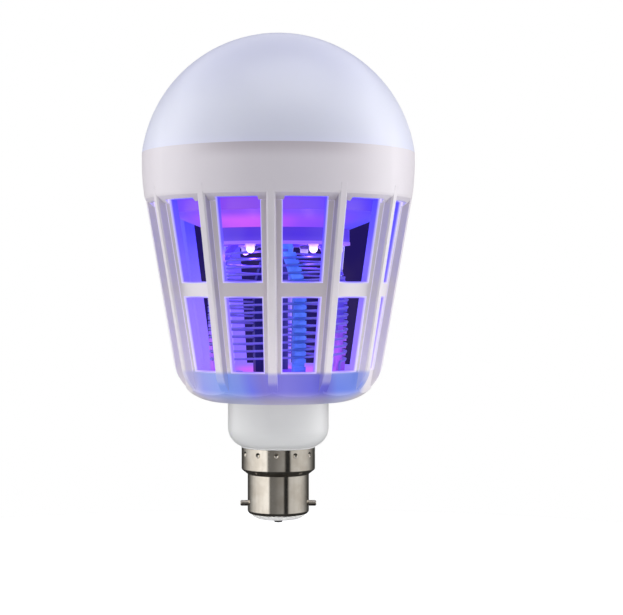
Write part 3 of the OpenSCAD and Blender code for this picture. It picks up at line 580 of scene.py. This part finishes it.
epoxy = {
    "body": "#E6D4FF", "core": "#F6EAFF", "rim": "#9A6CFF", "roughness": 0.12, "ior": 1.5,
    "flange": 0.0925, "tip": 0.0905,            # heights: the lens points down
    "frontGlow": (0.0, 0.6, 0.3, 1.3), "patch": 1.2, "patchLevels": (0.85, 1.15),
}


def violetEpoxy():
    # Moulded lens over a running chip: white-hot at the tip in front, violet at the flange and farther back
    material, tree, shader = startMaterial("violetEpoxy")
    field = surfaceField(tree)
    colour = colourAlong(tree, field["height"], epoxy["flange"], epoxy["tip"],
                         [(0.0, epoxy["rim"]), (1.0, epoxy["core"])], "SMOOTHSTEP")
    cloud = addNode(tree, "TexNoise", links={"Vector": field["object"], "Scale": perMetre(epoxy["patch"])})
    level = softSteps(tree, (facingSide(tree, field), *epoxy["frontGlow"]),
                      (cloud, *noiseSpan, *epoxy["patchLevels"]))
    setSockets(tree, shader, {"Base Color": epoxy["body"], "Roughness": epoxy["roughness"],
                              "IOR": epoxy["ior"], "Emission Color": colour, "Emission Strength": level})
    return material


comb = {
    "azimuth": 0.3,                             # of the photographed post, in radians
    "colours": [(0.0, "#221C84"), (0.4, "#7A48D0"), (0.6, "#7A48D0"), (0.88, "#5C8CF8"), (1.0, "#5C8CF8")],
    # Painted shade on the far posts' body, and painted pink light at the posts' feet
    "body": "#3C54B8", "farShadeBody": "#14123C", "bodySide": (-0.8, -0.2),
    "foot": "#D460F0", "footHeight": (0.07, 0.054), "footSide": (0.6, 0.3), "footFarSide": (-0.6, -0.3),
    "roughness": 0.4, "glossSpread": 0.05, "grain": 0.4, "grainDepth": 0.004,
    "patch": 4, "patchGlow": (0.3, 0.75, 0.276, 0.575),
    "topGlow": (0.074, 0.09, 1.0, 1.5), "footGlow": (0.0, 1.0, 1.0, 1.6),
    "coil": 0.025, "knee": 0.074,
    "drawIn": 0.0065 / 0.0166 ** 2,             # the coil draws in by 6.5 mm over the 16.6 mm above its knee
    # Painted shade: less glow deep in the notches
    "notchGlow": (-0.0002, 0.0005, 0.7, 1.0),
}


def litNylon():
    # Milky comb posts with painted violet light: sky blue in front, violet elsewhere, painted shade darker in
    # the notches
    material, tree, shader = startMaterial("litNylon")
    grain(tree, shader, comb)
    field = surfaceField(tree)
    height = field["height"]
    front = facingSide(tree, field, comb["azimuth"])
    foot = softSteps(tree, (height, *comb["footHeight"]), (front, *comb["footSide"]),
                     (front, *comb["footFarSide"]))
    colour = layColours(tree, colourAlong(tree, front, -1.0, 1.0, comb["colours"]), (foot, comb["foot"]))
    body = layColours(tree, comb["farShadeBody"], (softSteps(tree, (front, *comb["bodySide"])), comb["body"]))

    # How far the surface stands proud of the coil that lies in the notches
    above = addNode(tree, "Math", {"operation": "SUBTRACT"}, {0: height, 1: comb["knee"]})
    above = addNode(tree, "Math", {"operation": "MAXIMUM"}, {0: above, 1: 0.0})
    square = addNode(tree, "Math", {"operation": "MULTIPLY"}, {0: above, 1: above})
    beyond = addNode(tree, "Math", {"operation": "SUBTRACT"}, {0: field["radius"], 1: comb["coil"]})
    proud = addNode(tree, "Math", {"operation": "MULTIPLY_ADD"}, {0: square, 1: comb["drawIn"], 2: beyond})

    cloud = addNode(tree, "TexNoise", links={"Vector": field["object"], "Scale": perMetre(comb["patch"])})
    level = softSteps(tree, (cloud, *comb["patchGlow"]), (height, *comb["topGlow"]),
                      (foot, *comb["footGlow"]), (proud, *comb["notchGlow"]))
    setSockets(tree, shader, {"Base Color": body, "Emission Color": colour, "Emission Strength": level})
    return material


wire = {
    # Painted reflection: the wire's body is tinted violet, and it glows with the cage's violet and, where it
    # crosses the post, its blue
    "pale": "#8E88C4", "deep": "#6A64A2", "patch": 3,
    "roughness": 0.5, "glossSpread": 0.05, "grain": 0.6, "grainDepth": 0.003,
    "glow": "#7468E4", "postGlow": "#3C6CD8", "postSide": (0.985, 0.992), "level": (0.0, 1.0, 0.36, 0.34),
}


def drawnSteel():
    # Bare drawn wire with painted reflections: the violet cage, and the blue post where it crosses it
    material, tree, shader = startMaterial("drawnSteel")
    grain(tree, shader, wire)
    field = surfaceField(tree)
    cloud = addNode(tree, "TexNoise", links={"Vector": field["object"], "Scale": perMetre(wire["patch"])})
    atPost = softSteps(tree, (facingSide(tree, field, comb["azimuth"]), *wire["postSide"]))
    setSockets(tree, shader, {"Base Color": layColours(tree, wire["pale"], (cloud, wire["deep"])),
                              "Metallic": 1.0,
                              "Emission Color": layColours(tree, wire["glow"], (atPost, wire["postGlow"])),
                              "Emission Strength": softSteps(tree, (atPost, *wire["level"]))})
    return material


tray = {
    "body": "#5A34B0", "glow": 0.75, "roughness": 0.4, "glossSpread": 0.05, "grain": 0.4, "grainDepth": 0.003,
    "middle": 0.01, "edge": 0.028, "colours": [(0.0, "#6A3CE0"), (0.7, "#A856E8"), (1.0, "#D86CEC")],
}


def litAbs():
    # White tray under the grid, with painted light from above: pink at its edge
    return litDisc("litAbs", tray)


def makeMaterials():
    zinc = plainMaterial("zincPlatedSteel", "#C9CBD0", "#A6A8AE", 0.32, 0.5, 0.004, metallic=1.0)
    leads = plainMaterial("pvcSleeve", "#9C2F2A", "#86241F", 0.45, 0.4, 0.004, ior=1.53)
    # Core tube: dark violet, with a painted blue glow
    tube = plainMaterial("darkAbs", "#2A2468", "#221E58", 0.45, 0.4, 0.003, ior=1.53, glow=("#2A2A90", 0.3))
    pin = plainMaterial("nickelPlatedPin", "#E2DCD2", "#C9C2B8", 0.14, 0.2, 0.004, metallic=1.0)
    plate = plainMaterial("rolledAluminium", "#C4C6CA", "#AEB0B4", 0.35, 0.5, 0.004, metallic=1.0)
    return {
        "dome_diffuser": opalPolycarbonate(),
        "cage_housing": whiteAbs(),
        "neck_housing": greyAbs(),
        "cap_shell": nickelPlatedBrass(),
        "bayonet_pin_left": pin,
        "cap_insulator": plainMaterial("whiteUrea", "#E9E8E4", "#DDDBD6", 0.4, 0.4, 0.006, ior=1.55),
        "contact_front": plainMaterial("tinSolder", "#D9D7D2", "#B5B3AE", 0.35, 0.5, 0.01, metallic=1.0),
        "supply_leads": leads,
        "lamp_leads": leads,
        "driver_board": plainMaterial("greenSolderMask", "#2E6B42", "#245A36", 0.35, 0.8, 0.004, ior=1.5),
        "driver_capacitor": plainMaterial("shrinkSleeve", "#20304F", "#1A2742", 0.3, 0.6, 0.004, ior=1.53),
        "driver_transformer": plainMaterial("sinteredFerrite", "#4A4642", "#3A3632", 0.6, 0.3, 0.01),
        "driver_bridge": plainMaterial("mouldedEpoxy", "#26262A", "#1E1E22", 0.55, 0.3, 0.006, ior=1.55),
        "pulse_capacitors": plainMaterial("dippedEpoxy", "#2F62A8", "#28548F", 0.28, 0.9, 0.01, ior=1.55),
        "grid_base": litAbs(),
        "grid_base_screws": zinc,
        "uv_board_screws": zinc,
        "lamp_board_screws": zinc,
        "core_tube": tube,
        "live_wire": drawnSteel(),
        "uv_board": litSolderMask(),
        "uv_leds": violetEpoxy(),
        "reflector_cone": litPolypropylene(),
        "heat_plate": plate,
        "lamp_board": plainMaterial("whiteSolderMask", "#F0F0EC", "#E4E4E0", 0.45, 0.6, 0.003, ior=1.5),
        "white_leds": plainMaterial("yellowPhosphor", "#EBD67A", "#DFC862", 0.5, 0.5, 0.004, ior=1.45),
        "comb_post_1": litNylon(),
    }


sameAs = {
    "bayonet_pin_right": "bayonet_pin_left", "contact_rear": "contact_front", "neutral_wire": "live_wire",
    "comb_post_2": "comb_post_1", "comb_post_3": "comb_post_1", "comb_post_4": "comb_post_1",
}


def dressNodes():
    finishes = makeMaterials()
    for name, item in nodes.items():
        item.data.materials.clear()
        item.data.materials.append(finishes[sameAs.get(name, name)])
        for face in item.data.polygons:
            face.material_index = 0


dressNodes()
print("materials made")


# Violet lamps inside the cage

violet = {
    "count": 6,
    "first": 33.85,         # azimuth of the first, in degrees from -Y towards +X
    "radius": 0.0219,
    "height": 0.0885,
    "watts": 0.0048,
    "colour": "#7A4CFF",
    "size": 0.0015,
}


def lightViolet():
    for i in range(violet["count"]):
        lamp = bpy.data.lights.new(f"violet{i + 1}", "POINT")
        lamp.energy = violet["watts"]
        lamp.color = toLinear(violet["colour"])[:3]
        lamp.shadow_soft_size = violet["size"]
        holder = bpy.data.objects.new(lamp.name, lamp)
        azimuth = violet["first"] + 360 / violet["count"] * i
        holder.location = aroundAxis(violet["radius"], azimuth, violet["height"])
        bpy.context.scene.collection.objects.link(holder)


lightViolet()
print("violet lamps lit")
